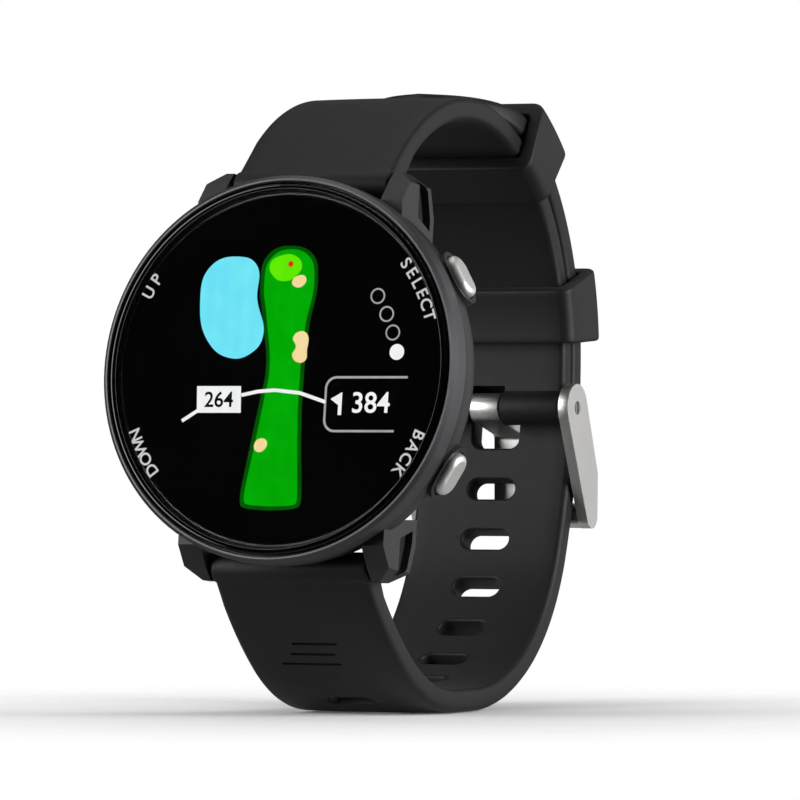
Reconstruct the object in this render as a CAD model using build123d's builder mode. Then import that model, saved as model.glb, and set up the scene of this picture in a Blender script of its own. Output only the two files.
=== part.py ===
"""Golf GPS watch, buckled and standing on its strap.

Millimetres, +Z up, +X towards the wearer's three o'clock side, -Y towards the viewer.
The origin is on the surface it stands on, under the middle of the whole object.
The case is built on the dial plane: its own Y runs to twelve o'clock and depth runs back
from the face.  The strap follows one loop line of a straight foot and tangent arcs.
"""
import os
from math import cos, degrees, radians, sin, tan

from build123d import *

os.makedirs("parts", exist_ok=True)

# ---------------------------------------------------------------- driving dimensions
face_y = -31.62            # middle of the lens face, forward of the origin
face_z = 40.4              # and above the surface
face_pitch = 7.5           # the face leans back by this many degrees

# case, as radius and depth behind the lens face
lens_radius = 21.55
lens_thickness = 1.2
bezel_radius = 22.5
bezel_inner = 21.7
shelf_radius = 20.3
shelf_depth = 1.35
bezel_depth = 3.2
case_radius = 22.3
case_back_radius = 19.2
case_depth = 11.9
wall_straight_depth = 4.2
wall_middle = (20.6, 9.2)   # radius and depth halfway down the tapered wall
cavity_radius = 19.0
wall_inner = 18.4
lens_edge = 0.35

# back of the case
ledge_radius = 16.4
ledge_front = 9.6
ledge_depth = 10.9
cover_radius = 17.6
cover_rim_depth = 12.0
cover_depth = 12.6
cover_dome_radius = 13.4
cover_dome_taper = 35
gasket_outer = 17.4
gasket_inner = 16.8
gasket_depth = 0.5
boss_radius = 1.7
boss_front = 8.2
screw_circle = 15.0
screw_angles = (52, 128, 232, 308)
screw_hole = 1.4
screw_head = 2.6
screw_head_height = 0.7
screw_depth = 2.2
driver_length = 1.5
driver_width = 0.3
driver_depth = 0.35
contact_up = -11.6
contact_pitch = 2.6
contact_count = 4
contact_radius = 0.75
contact_length = 2.4
carrier_size = (11.4, 3.0)
carrier_height = 1.1

# inside the case, as sizes across, up and deep
display_back = 2.9
frame_back = 3.9
frame_thickness = 0.8
frame_foot_radius = 1.5
frame_foot_circle = 14.5
board_front = 4.5
board_back = 5.3
board_radius = 17.6
flex_width = 8.0
flex_thickness = 0.12
flex_low = -16.3
flex_window = (10, 2.4)
shield_size = (12, 5, 1.8)
shield_up = -13.2
antenna_size = (12, 5.4, 3.2)
antenna_up = 13.0
battery_size = (25, 19)
battery_back = 10.1
battery_gap = 0.2
pad_size = (20, 14)
motor_radius = 1.6
motor_length = 8.0
motor_place = (-14.9, -4)

# lugs and the quick-release bars that hold the strap
strap_width = 20.0
lug_inner = 10.3
lug_outer = 13.1
bar_up = 22.2
bar_depth = 7.7
bar_eye_radius = 1.9
bar_radius = 0.9
bar_length = 17.8
tip_radius = 0.45
tip_reach = 11.6
lug_profile = [            # depth behind the face against distance from the middle
    (3.5, 17.0), (3.5, 20.0), (5.6, 22.6), (6.9, 23.8), (9.0, 23.7), (10.9, 22.5),
    (12.2, 19.0), (12.2, 16.0),
]
lug_slope = [(10.6, 24.4), (13.6, 24.4), (13.6, 21.9)]   # cut from a lug's outer corner
cheek_profile = [(7.9, 22.9), (9.0, 22.8), (10.2, 21.9), (11.2, 18.8), (11.2, 17.4), (7.9, 18.6)]
cheek_depth = 0.9
lever_travel = 1.4
lever_start = 6.6          # from the middle of the bar, along it
lever_width = 0.9
knob_reach = 2.05
knob_radius = 0.5
lever_room = 0.3
top_inward = -30           # directions of the wrist side at the two bars
bottom_inward = 20
window_start = 4.4
window_length = 4.2
window_height = 1.8

# buttons, at these clock angles from three o'clock
button_angles = {"select": 30, "back": -30, "up": 150, "down": 210}
button_depth = 6.3
button_top = 23.5
button_travel = 0.5
button_length = 5.3
button_width = 3.4
pad_radius = 22.65
pad_border = 1.5
pocket_radius = 21.6
seal_radius = 1.25
seal_height = 0.9
stem_radius = 0.75
stem_end = 17.9
stem_room = 0.08
clip_radius = 18.5
clip_height = 0.35
clip_outer = 1.4
neck_depth = 0.18          # groove in the stem that the clip sits in
button_edge = 0.7
switch_radius = 15.9
switch_size = (2.0, 4.4)
switch_body = 1.0
switch_plunger = 0.45
switch_plunger_radius = 0.7

# strap: thickness of each half and the loop line between them
short_thickness = 2.75
long_thickness = 2.85
layer_gap = 0.15
foot_y = face_y + 30.8
foot_length = 5.0
rear_arcs = [(27.0, 28.6), (23.5, 40.4), (67.6, 20.4), (30.4, 73.6), (29.3, 57.0)]
front_arcs = [(20.9, 38.2), (47.0, 15.2)]
slot_length = 6.1
slot_height = 2.5
slot_pitch = 6.33
first_slot = 45.8          # stations along the loop line, from the middle of the foot
slots_below = 9
slots_above = 3
long_start = -26.5
long_tip = 97.5
short_end = 122.2

# buckle and keepers
pin_station = 50.3
pin_offset = -2.35
pin_radius = 0.75
eye_radius = 2.1
arm_inner = 10.4
arm_outer = 11.7
arm_ends = (2.9, 1.8, 1.55)   # radius of an arm at the pin, at its belly and at the bar
bar_station = 38.5
bar_offset = 4.5
bar_section = (3.0, 2.2)     # kept inside the arm end, so the two never touch at a point
belly_offset = 3.2
pin_proud = 0.05
pin_room = 0.05
tang_width = 3.8
tang_thickness = 0.95
tang_room = 0.07
tang_drop = 15
notch_room = 0.35
keeper_wall = 1.75
keeper_side = 1.85
keeper_side_gap = 0.15
keeper_clearance = 0.12
keeper_corner = 1.6
keeper_length = 7.8
keeper_lower = 62.4
keeper_upper = 84.5

# free end and slots of the long half
held_slot = 46.9           # the tang is through this one, drawn out by its pull
held_slot_height = 4.8
tip_taper = 9.0
tip_thickness = 1.5
tip_round = 10.0
groove_station = -19.0
groove_widths = (7.7, 5.8, 5.8)
groove_pitch = 1.7
groove_size = 0.5
groove_depth = 0.35

side = Plane.YZ
dial = Plane(
    origin=(0, face_y, face_z),
    x_dir=(1, 0, 0),
    z_dir=(0, -cos(radians(face_pitch)), sin(radians(face_pitch))),
)


# ---------------------------------------------------------------- helpers
def at_depth(depth):
    """The dial plane moved back behind the face."""
    return dial.offset(-depth)


def dial_point(x, up, depth):
    """A point given from the middle of the face, in the model's frame."""
    return dial.from_local_coords(Vector(x, up, -depth))


def loop_point(station, offset=0.0):
    """Point and heading of the loop line, offset outwards, at a length from the foot."""
    sign = 1 if station >= 0 else -1
    left = abs(station)
    run = min(left, foot_length / 2)
    y = foot_y + sign * run
    z = long_thickness
    heading = 0.0
    left -= run
    for radius, turn in rear_arcs if sign > 0 else front_arcs:
        run = min(left, radius * radians(turn))
        turned = heading + sign * run / radius
        y += radius * (sin(turned) - sin(heading))
        z -= radius * (cos(turned) - cos(heading))
        heading = turned
        left -= run
    return Vector(y + offset * sin(heading), z - offset * cos(heading)), heading


def arc_stations():
    """Stations where one stretch of the loop line meets the next."""
    ends = [-foot_length / 2, foot_length / 2]
    for radius, turn in rear_arcs:
        ends.append(ends[-1] + radius * radians(turn))
    for radius, turn in front_arcs:
        ends.insert(0, ends[0] - radius * radians(turn))
    return ends


def loop_edges(start, end, offset):
    """Draw the loop line between two stations at an offset, in the open line builder."""
    cuts = [start] + [s for s in arc_stations() if start < s < end] + [end]
    for a, b in zip(cuts, cuts[1:]):
        first, middle, last = (loop_point(s, offset)[0] for s in (a, (a + b) / 2, b))
        if abs(a + b) < foot_length and abs(b - a) <= foot_length:
            Line(first, last)
        else:
            ThreePointArc(first, middle, last)


def station_plane(station, offset=0.0):
    """A plane on the strap: X across it, Y back along it, Z outwards."""
    point, heading = loop_point(station, offset)
    return Plane(
        origin=(0, point.X, point.Y),
        x_dir=(1, 0, 0),
        z_dir=(0, sin(heading), -cos(heading)),
    )


def arc_centre(station):
    """Centre of the arc that the loop line follows at a station, and its radius."""
    ends = arc_stations()
    first_rear = len(front_arcs) + 1
    for index, (radius, _) in enumerate(rear_arcs):
        if ends[first_rear + index] >= station:
            point, heading = loop_point(station)
            return Vector(point.X - radius * sin(heading), point.Y + radius * cos(heading)), radius
    return None


def finish(part, name):
    """Label a finished piece and write it."""
    part.label = name
    export_step(part, f"parts/{name}.step")


top_bar = dial_point(0, bar_up, bar_depth)
bottom_bar = dial_point(0, -bar_up, bar_depth)
pin_point, _ = loop_point(pin_station, pin_offset)
bar_point, _ = loop_point(bar_station, bar_offset)

section = Plane(origin=dial.origin, x_dir=(1, 0, 0), z_dir=-dial.y_dir)
face_axis = Axis(dial.origin, dial.z_dir)

# ---------------------------------------------------------------- front of the case
with BuildPart() as lens:
    with BuildSketch(at_depth(lens_thickness)):
        Circle(lens_radius)
    extrude(amount=lens_thickness)
    fillet(lens.faces().sort_by(face_axis)[-1].edges(), lens_edge)
finish(lens.part, "lens")

with BuildPart() as lens_gasket:
    with BuildSketch(at_depth(shelf_depth)):
        Circle(lens_radius - 0.1)
        Circle(shelf_radius + 0.2, mode=Mode.SUBTRACT)
    extrude(amount=shelf_depth - lens_thickness)
finish(lens_gasket.part, "lens_gasket")

with BuildPart() as bezel_ring:
    with BuildSketch(section):
        with BuildLine():
            Polyline(
                (bezel_inner, -0.2), (bezel_inner + 0.15, -0.05), (bezel_radius - 0.45, -0.05),
                (bezel_radius - 0.05, -0.45), (bezel_radius, -0.9), (bezel_radius, -bezel_depth + 0.25),
                (bezel_radius - 0.25, -bezel_depth), (shelf_radius, -bezel_depth),
                (shelf_radius, -shelf_depth), (bezel_inner, -shelf_depth), close=True,
            )
        make_face()
    revolve(axis=face_axis)
finish(bezel_ring.part, "bezel_ring")

with BuildPart() as display_module:
    with BuildSketch(at_depth(display_back)):
        Circle(shelf_radius - 0.2)
    extrude(amount=display_back - lens_thickness - 0.05)
finish(display_module.part, "display_module")

# ---------------------------------------------------------------- middle case with lugs
def radial_plane(angle, radius, depth=button_depth):
    """A plane facing out of the case wall: X towards the face, Y round the case."""
    out = dial.x_dir * cos(radians(angle)) + dial.y_dir * sin(radians(angle))
    origin = dial_point(
        cos(radians(angle)) * radius, sin(radians(angle)) * radius, depth
    )
    return Plane(origin=origin, x_dir=dial.z_dir, z_dir=out)


screw_places = [
    (screw_circle * cos(radians(a)), screw_circle * sin(radians(a))) for a in screw_angles
]
lug_side = Plane(origin=dial.origin, x_dir=-dial.z_dir, z_dir=(1, 0, 0))

with BuildPart() as mid_case:
    with BuildSketch(section):
        with BuildLine():
            Polyline(
                (wall_inner, -bezel_depth), (case_radius - 0.2, -bezel_depth),
                (case_radius, -bezel_depth - 0.2), (case_radius, -wall_straight_depth),
            )
            Spline(
                (case_radius, -wall_straight_depth), (wall_middle[0], -wall_middle[1]),
                (case_back_radius, -case_depth), tangents=((0, -1), (-0.55, -1)),
            )
            Polyline(
                (case_back_radius, -case_depth), (wall_inner, -case_depth),
                (wall_inner, -bezel_depth),
            )
        make_face()
    revolve(axis=face_axis)
    # four lugs, drawn from the side as depth against height
    for hand in (1, -1):
        for end in (1, -1):
            with BuildSketch(lug_side.offset(hand * (lug_inner + lug_outer) / 2)):
                with BuildLine():
                    Polyline(*[(depth, end * up) for depth, up in lug_profile], close=True)
                make_face()
            extrude(amount=(lug_outer - lug_inner) / 2, both=True)
            # the tip falls away towards the outside
            with BuildSketch(at_depth(case_depth + 1)):
                with BuildLine():
                    Polyline(*[(hand * x, end * up) for x, up in lug_slope], close=True)
                make_face()
            extrude(amount=case_depth + 1, mode=Mode.SUBTRACT)
    # flat pads that the buttons sit in
    for angle in button_angles.values():
        with BuildSketch(radial_plane(angle, wall_inner + 0.4)):
            SlotOverall(button_length + pad_border, button_width + pad_border, rotation=90)
        extrude(amount=pad_radius - wall_inner - 0.4)
    # inside: cavity, ledge for the cover, recess for the cover
    with BuildSketch(at_depth(ledge_front)):
        Circle(cavity_radius)
    extrude(amount=ledge_front - bezel_depth, mode=Mode.SUBTRACT)
    with BuildSketch(at_depth(ledge_depth)):
        Circle(wall_inner + 0.3)
        Circle(ledge_radius, mode=Mode.SUBTRACT)
    extrude(amount=ledge_depth - ledge_front)
    with BuildSketch(at_depth(ledge_depth)):
        with Locations(screw_places):
            Circle(boss_radius)
    extrude(amount=ledge_depth - boss_front)
    with BuildSketch(at_depth(ledge_depth)):
        with Locations(screw_places):
            Circle(screw_hole / 2)
    extrude(amount=screw_depth, mode=Mode.SUBTRACT)
    with BuildSketch(at_depth(ledge_depth)):
        Circle(gasket_outer)
        Circle(gasket_inner, mode=Mode.SUBTRACT)
    extrude(amount=gasket_depth, mode=Mode.SUBTRACT)
    with BuildSketch(at_depth(case_depth)):
        Circle(cover_radius + 0.15)
    extrude(amount=case_depth - ledge_depth, mode=Mode.SUBTRACT)
    # hollows for the strap eyes and the blind holes that the bar tips sit in
    for end in (1, -1):
        bar_axis = Plane(
            origin=dial_point(0, end * bar_up, bar_depth), x_dir=dial.y_dir, z_dir=(1, 0, 0)
        )
        with BuildSketch(bar_axis):
            Circle(bar_eye_radius + 0.25)
        extrude(amount=lug_inner, both=True, mode=Mode.SUBTRACT)
        with BuildSketch(bar_axis):
            Circle(tip_radius + 0.05)
        extrude(amount=tip_reach + 0.2, both=True, mode=Mode.SUBTRACT)
        # room for the lever's knob over its whole slide
        with BuildSketch(bar_axis.offset(lever_start - lever_travel - lever_room)):
            Circle(knob_reach + knob_radius + lever_room)
        extrude(amount=lever_width + lever_travel + 2 * lever_room, mode=Mode.SUBTRACT)
        # hollow in the outer cheek of each lug
        for hand in (1, -1):
            with BuildSketch(lug_side.offset(hand * (lug_outer - cheek_depth))):
                with BuildLine():
                    Polyline(*[(depth, end * up) for depth, up in cheek_profile], close=True)
                make_face()
            extrude(amount=hand * cheek_depth * 2, mode=Mode.SUBTRACT)
    # pockets, seal bores and stem bores of the buttons
    for angle in button_angles.values():
        with BuildSketch(radial_plane(angle, pocket_radius)):
            SlotOverall(button_length + 0.4, button_width + 0.4, rotation=90)
        extrude(amount=3, mode=Mode.SUBTRACT)
        with BuildSketch(radial_plane(angle, pocket_radius)):
            Circle(seal_radius + 0.03)
        extrude(amount=-seal_height, mode=Mode.SUBTRACT)
        with BuildSketch(radial_plane(angle, pocket_radius)):
            Circle(stem_radius + stem_room)
        extrude(amount=-3, mode=Mode.SUBTRACT)
finish(mid_case.part, "mid_case")

# ---------------------------------------------------------------- back of the case
with BuildPart() as back_cover:
    with BuildSketch(at_depth(cover_rim_depth)):
        Circle(cover_radius)
    extrude(amount=cover_rim_depth - ledge_depth)
    with BuildSketch(at_depth(cover_rim_depth)):
        Circle(cover_dome_radius)
    extrude(amount=cover_rim_depth - cover_depth, taper=cover_dome_taper)
    with BuildSketch(at_depth(cover_rim_depth)):
        with Locations(screw_places):
            Circle(screw_head / 2 + 0.1)
    extrude(amount=screw_head_height, mode=Mode.SUBTRACT)
    with BuildSketch(at_depth(cover_rim_depth)):
        with Locations(screw_places):
            Circle(screw_hole / 2 + 0.05)
    extrude(amount=3, mode=Mode.SUBTRACT)
    with BuildSketch(at_depth(cover_depth)):
        with Locations((0, contact_up)):
            with GridLocations(contact_pitch, 1, contact_count, 1):
                Circle(contact_radius + 0.02)
    extrude(amount=3, mode=Mode.SUBTRACT)
finish(back_cover.part, "back_cover")

with BuildPart() as back_gasket:
    with BuildSketch(at_depth(ledge_depth)):
        Circle(gasket_outer - 0.04)
        Circle(gasket_inner + 0.04, mode=Mode.SUBTRACT)
    extrude(amount=gasket_depth)
finish(back_gasket.part, "back_gasket")

with BuildPart() as back_screws:
    with BuildSketch(at_depth(cover_rim_depth)):
        with Locations(screw_places):
            Circle(screw_head / 2)
    extrude(amount=screw_head_height)
    with BuildSketch(at_depth(cover_rim_depth - screw_head_height)):
        with Locations(screw_places):
            Circle(screw_hole / 2 - 0.04)
    extrude(amount=cover_rim_depth - screw_head_height - ledge_depth + screw_depth - 0.3)
    with BuildSketch(at_depth(cover_rim_depth)):
        for place in screw_places:
            with Locations(place):
                Rectangle(driver_length, driver_width)
                Rectangle(driver_width, driver_length)
    extrude(amount=driver_depth, mode=Mode.SUBTRACT)
finish(back_screws.part, "back_screws")

with BuildPart() as charge_contacts:
    with BuildSketch(at_depth(cover_depth)):
        with Locations((0, contact_up)):
            with GridLocations(contact_pitch, 1, contact_count, 1):
                Circle(contact_radius)
    extrude(amount=contact_length)
finish(charge_contacts.part, "charge_contacts")

with BuildPart() as contact_carrier:
    with BuildSketch(at_depth(ledge_depth)):
        with Locations((0, contact_up)):
            RectangleRounded(*carrier_size, 0.6)
            with GridLocations(contact_pitch, 1, contact_count, 1):
                Circle(contact_radius + 0.02, mode=Mode.SUBTRACT)
    extrude(amount=carrier_height)
finish(contact_carrier.part, "contact_carrier")

# ---------------------------------------------------------------- inside the case
with BuildPart() as inner_frame:
    with BuildSketch(at_depth(frame_back)):
        Circle(cavity_radius - 0.35)
        with Locations((0, flex_low)):
            RectangleRounded(*flex_window, 0.5, mode=Mode.SUBTRACT)
    extrude(amount=frame_thickness)
    with BuildSketch(at_depth(board_front)):
        with PolarLocations(frame_foot_circle, 4, start_angle=45):
            Circle(frame_foot_radius)
    extrude(amount=board_front - frame_back)
finish(inner_frame.part, "inner_frame")

with BuildPart() as display_flex:
    with BuildSketch(lug_side):
        with BuildLine():
            Polyline(
                (display_back + 0.08, flex_low + 3.8), (display_back + 0.08, flex_low),
                (board_front - 0.1, flex_low), (board_front - 0.1, flex_low + 2.7),
            )
        trace(line_width=flex_thickness)
    extrude(amount=flex_width / 2, both=True)
finish(display_flex.part, "display_flex")

with BuildPart() as main_board:
    with BuildSketch(at_depth(board_back)):
        Circle(board_radius)
    extrude(amount=board_back - board_front)
finish(main_board.part, "main_board")

with BuildPart() as shield_can:
    across, up, deep = shield_size
    with BuildSketch(at_depth(board_back + deep)):
        with Locations((0, shield_up)):
            RectangleRounded(across, up, 0.5)
    extrude(amount=deep)
    fillet(shield_can.edges().group_by(face_axis)[0], 0.3)
finish(shield_can.part, "shield_can")

with BuildPart() as gps_antenna:
    across, up, deep = antenna_size
    with BuildSketch(at_depth(board_back + deep)):
        with Locations((0, antenna_up)):
            RectangleRounded(across, up, 0.4)
    extrude(amount=deep)
finish(gps_antenna.part, "gps_antenna")

with BuildPart() as battery:
    with BuildSketch(at_depth(battery_back)):
        RectangleRounded(*battery_size, 1.2)
    extrude(amount=battery_back - board_back - battery_gap)
    fillet(battery.edges().group_by(face_axis)[0], 0.8)
finish(battery.part, "battery")

with BuildPart() as battery_pad:
    with BuildSketch(at_depth(ledge_depth)):
        RectangleRounded(*pad_size, 1)
    extrude(amount=ledge_depth - battery_back)
finish(battery_pad.part, "battery_pad")

with BuildPart() as vibration_motor:
    motor_start = dial_point(*motor_place, board_back + motor_radius + 0.1)
    with BuildSketch(Plane(origin=motor_start, x_dir=(1, 0, 0), z_dir=dial.y_dir)):
        Circle(motor_radius)
    extrude(amount=motor_length)
finish(vibration_motor.part, "vibration_motor")

with BuildPart() as side_switches:
    for angle in button_angles.values():
        with BuildSketch(radial_plane(angle, switch_radius)):
            Rectangle(*switch_size)
        extrude(amount=switch_body)
        with BuildSketch(radial_plane(angle, switch_radius + switch_body)):
            Circle(switch_plunger_radius)
        extrude(amount=switch_plunger)
finish(side_switches.part, "side_switches")

with BuildPart() as button_seals:
    for angle in button_angles.values():
        with BuildSketch(radial_plane(angle, pocket_radius - seal_height)):
            Circle(seal_radius)
            Circle(stem_radius + 0.03, mode=Mode.SUBTRACT)
        extrude(amount=seal_height - 0.05)
finish(button_seals.part, "button_seals")

# ---------------------------------------------------------------- buttons
button_under = pocket_radius + button_travel + 0.1
for name, angle in button_angles.items():
    with BuildPart() as button:
        with BuildSketch(radial_plane(angle, button_under)):
            SlotOverall(button_length, button_width, rotation=90)
        extrude(amount=button_top - button_under)
        crown = button.faces().sort_by(Axis(dial.origin, radial_plane(angle, 1).z_dir))[-1]
        fillet(crown.edges(), button_edge)
        with BuildSketch(radial_plane(angle, stem_end)):
            Circle(stem_radius)
        extrude(amount=button_under - stem_end)
        with BuildSketch(radial_plane(angle, clip_radius - 0.02)):
            Circle(stem_radius + 0.2)
            Circle(stem_radius - neck_depth, mode=Mode.SUBTRACT)
        extrude(amount=clip_height + 0.04, mode=Mode.SUBTRACT)
    finish(button.part, f"button_{name}")

    with BuildPart() as clip:
        with BuildSketch(radial_plane(angle, clip_radius)):
            Circle(clip_outer)
            Circle(stem_radius - neck_depth + 0.03, mode=Mode.SUBTRACT)
            with Locations((-clip_outer, 0)):
                Rectangle(2 * clip_outer, 0.8, mode=Mode.SUBTRACT)
        extrude(amount=clip_height)
    finish(clip.part, f"clip_{name}")

# ---------------------------------------------------------------- quick-release bars
for name, middle, inward in (
    ("top", top_bar, top_inward), ("bottom", bottom_bar, bottom_inward)
):
    axis = Plane(origin=middle, x_dir=(0, 1, 0), z_dir=(1, 0, 0))
    with BuildPart() as bar:
        with BuildSketch(axis.offset(-bar_length / 2)):
            Circle(bar_radius)
        extrude(amount=bar_length)
        with BuildSketch(axis.offset(-tip_reach)):
            Circle(tip_radius)
        extrude(amount=tip_reach)
        with BuildSketch(axis.offset(lever_start - 3.0)):
            Circle(tip_radius + 0.05)
        extrude(amount=6, mode=Mode.SUBTRACT)
        with BuildSketch(axis.offset(lever_start - lever_travel - lever_room)):
            with Locations((cos(radians(inward)), sin(radians(inward)))):
                Rectangle(2.0, 0.9, rotation=inward)
        extrude(amount=lever_width + lever_travel + 2 * lever_room, mode=Mode.SUBTRACT)
    finish(bar.part, f"spring_bar_{name}")

    with BuildPart() as lever:
        with BuildSketch(axis.offset(lever_start - 0.7)):
            Circle(tip_radius)
        extrude(amount=tip_reach - lever_start + 0.7)
        with BuildSketch(axis.offset(lever_start)):
            reach = (cos(radians(inward)) * knob_reach, sin(radians(inward)) * knob_reach)
            with Locations((reach[0] / 2, reach[1] / 2)):
                Rectangle(knob_reach, 0.6, rotation=inward)
            with Locations(reach):
                Circle(knob_radius)
        extrude(amount=lever_width)
    finish(lever.part, f"release_lever_{name}")


# ---------------------------------------------------------------- strap
def layer_edges(start, end, inner, outer):
    """Draw the closed outline of one strap layer, in the open line builder."""
    loop_edges(start, end, inner)
    Line(loop_point(end, inner)[0], loop_point(end, outer)[0])
    loop_edges(start, end, outer)
    Line(loop_point(start, outer)[0], loop_point(start, inner)[0])


def eye_blend(centre, station, inner, outer):
    """Corners of the wedge that joins an eye to the end of its strap layer."""
    first = loop_point(station, inner)[0]
    last = loop_point(station, outer)[0]
    across = (last - first).normalized() * bar_eye_radius
    middle = Vector(centre.Y, centre.Z)
    return first, last, middle + across, middle - across


def window_plane(middle, inward):
    """Where the window that a release lever shows through starts: X out of the eye."""
    out = Vector(0, cos(radians(inward)), sin(radians(inward)))
    return Plane(origin=middle + Vector(window_start, 0, 0), x_dir=out, z_dir=(1, 0, 0))


short_inner = -layer_gap - short_thickness
with BuildPart() as strap_short:
    with BuildSketch(side):
        with BuildLine():
            layer_edges(pin_station, short_end, short_inner, -layer_gap)
        make_face()
        with BuildLine():
            Polyline(*eye_blend(top_bar, short_end, short_inner, -layer_gap), close=True)
        make_face()
        with Locations((top_bar.Y, top_bar.Z)):
            Circle(bar_eye_radius)
        with Locations(pin_point):
            Circle(eye_radius)
    extrude(amount=strap_width / 2, both=True)
    axis = Plane(origin=top_bar, x_dir=(0, 1, 0), z_dir=(1, 0, 0))
    with BuildSketch(axis):
        Circle(bar_radius + 0.05)
    extrude(amount=strap_width, both=True, mode=Mode.SUBTRACT)
    with BuildSketch(window_plane(top_bar, top_inward)):
        with Locations((2.4, 0)):
            Rectangle(4.8, window_height)
    extrude(amount=window_length, mode=Mode.SUBTRACT)
    # buckle end: bore for the pin and a notch for the tang
    with BuildSketch(side):
        with Locations(pin_point):
            Circle(pin_radius + 0.03)
    extrude(amount=strap_width, both=True, mode=Mode.SUBTRACT)
    with BuildSketch(side):
        with Locations(pin_point):
            Circle(eye_radius + 0.6)
    extrude(amount=tang_width / 2 + notch_room, both=True, mode=Mode.SUBTRACT)
finish(strap_short.part, "strap_short")

with BuildPart() as strap_long:
    with BuildSketch(side):
        with BuildLine():
            layer_edges(long_start, long_tip, 0, long_thickness)
        make_face()
        with BuildLine():
            Polyline(*eye_blend(bottom_bar, long_start, 0, long_thickness), close=True)
        make_face()
        with Locations((bottom_bar.Y, bottom_bar.Z)):
            Circle(bar_eye_radius)
        # the tip gets thinner
        with BuildLine():
            taper_start = loop_point(long_tip - tip_taper, long_thickness)[0]
            taper_end = loop_point(long_tip, tip_thickness)[0]
            Polyline(
                taper_start, taper_end, loop_point(long_tip + 2, tip_thickness)[0],
                loop_point(long_tip + 2, 5)[0], loop_point(long_tip - tip_taper, 5)[0], close=True,
            )
        make_face(mode=Mode.SUBTRACT)
    extrude(amount=strap_width / 2, both=True)
    axis = Plane(origin=bottom_bar, x_dir=(0, 1, 0), z_dir=(1, 0, 0))
    with BuildSketch(axis):
        Circle(bar_radius + 0.05)
    extrude(amount=strap_width, both=True, mode=Mode.SUBTRACT)
    with BuildSketch(window_plane(bottom_bar, bottom_inward)):
        with Locations((2.4, 0)):
            Rectangle(4.8, window_height)
    extrude(amount=window_length, mode=Mode.SUBTRACT)
    for index in range(-slots_below, slots_above + 1):
        station = first_slot + index * slot_pitch if index else held_slot
        with BuildSketch(station_plane(station, long_thickness / 2)):
            if index:
                SlotOverall(slot_length, slot_height)
            else:
                RectangleRounded(slot_length, held_slot_height, slot_height / 2 - 0.05)
        extrude(amount=3, both=True, mode=Mode.SUBTRACT)
    # round the tip in plan
    with BuildSketch(station_plane(long_tip - tip_round, 1)):
        with Locations((0, -tip_round)):
            Rectangle(strap_width + 2, tip_round * 2)
        Circle(tip_round, mode=Mode.SUBTRACT)
    extrude(amount=4, both=True, mode=Mode.SUBTRACT)
    # three plain grooves below the case
    for index, width in enumerate(groove_widths):
        with BuildSketch(station_plane(groove_station - index * groove_pitch, long_thickness)):
            with Locations((-1.5 + 0.8 * index, 0)):
                SlotOverall(width, groove_size)
        extrude(amount=groove_depth, both=True, mode=Mode.SUBTRACT)
finish(strap_long.part, "strap_long")

# ---------------------------------------------------------------- buckle
belly = loop_point((pin_station + bar_station) / 2 - 1.5, belly_offset)[0]
with BuildPart() as buckle_frame:
    for hand in (1, -1):
        with BuildSketch(side.offset(hand * arm_inner)):
            for place, radius in zip((pin_point, belly, bar_point), arm_ends):
                with Locations(place):
                    Circle(radius)
            make_hull()
            with Locations(pin_point):
                Circle(pin_radius + pin_room, mode=Mode.SUBTRACT)
        extrude(amount=hand * (arm_outer - arm_inner))
    with BuildSketch(side.offset(-arm_outer + 0.3)):
        with Locations(bar_point):
            SlotOverall(*bar_section, rotation=90)
    extrude(amount=2 * arm_outer - 0.6)
finish(buckle_frame.part, "buckle_frame")

with BuildPart() as buckle_pin:
    pin_end = arm_outer + pin_proud
    with BuildSketch(side.offset(-pin_end)):
        with Locations(pin_point):
            Circle(pin_radius)
    extrude(amount=2 * pin_end)
    # driver slot in both ends
    for hand in (1, -1):
        with BuildSketch(side.offset(hand * pin_end)):
            with Locations(pin_point):
                Rectangle(driver_width, 2)
        extrude(amount=-hand * driver_depth, mode=Mode.SUBTRACT)
finish(buckle_pin.part, "buckle_pin")

tang_centre = pin_radius + tang_room + tang_thickness / 2
tang_root = pin_point + Vector(-sin(radians(tang_drop)), -cos(radians(tang_drop))) * tang_centre
tang_out = bar_point.X + bar_section[1] / 2 + 0.05 + tang_thickness / 2
tang_elbow = tang_root + Vector(1, -tan(radians(tang_drop))) * (tang_out - tang_root.X)
with BuildPart() as buckle_tang:
    with BuildSketch(side):
        with Locations(pin_point):
            Circle(tang_centre + tang_thickness / 2)
        with BuildLine():
            FilletPolyline(tang_root, tang_elbow, (tang_out, bar_point.Y - 1.0), radius=1.2)
        trace(line_width=tang_thickness)
        with Locations(pin_point):
            Circle(pin_radius + tang_room, mode=Mode.SUBTRACT)
    extrude(amount=tang_width / 2, both=True)
finish(buckle_tang.part, "buckle_tang")

# ---------------------------------------------------------------- keepers
for name, station in (("keeper_lower", keeper_lower), ("keeper_upper", keeper_upper)):
    centre, radius = arc_centre(station)
    low = short_inner - keeper_clearance
    high = long_thickness + keeper_clearance
    turn = keeper_length / radius
    start, heading = loop_point(station - keeper_length / 2)
    # section square to the strap: X across it, Y outwards
    section_plane = Plane(
        origin=(0, start.X, start.Y), x_dir=(1, 0, 0), z_dir=(0, cos(heading), sin(heading))
    )
    inside = (strap_width + 2 * keeper_side_gap, high - low)
    outside = (strap_width + 2 * keeper_side, high - low + 2 * keeper_wall)
    with BuildPart() as keeper:
        with BuildSketch(section_plane):
            with Locations((0, (low + high) / 2)):
                RectangleRounded(*outside, keeper_corner)
                RectangleRounded(*inside, 0.4, mode=Mode.SUBTRACT)
        revolve(axis=Axis((0, centre.X, centre.Y), (1, 0, 0)), revolution_arc=degrees(turn))
    finish(keeper.part, name)
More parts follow.
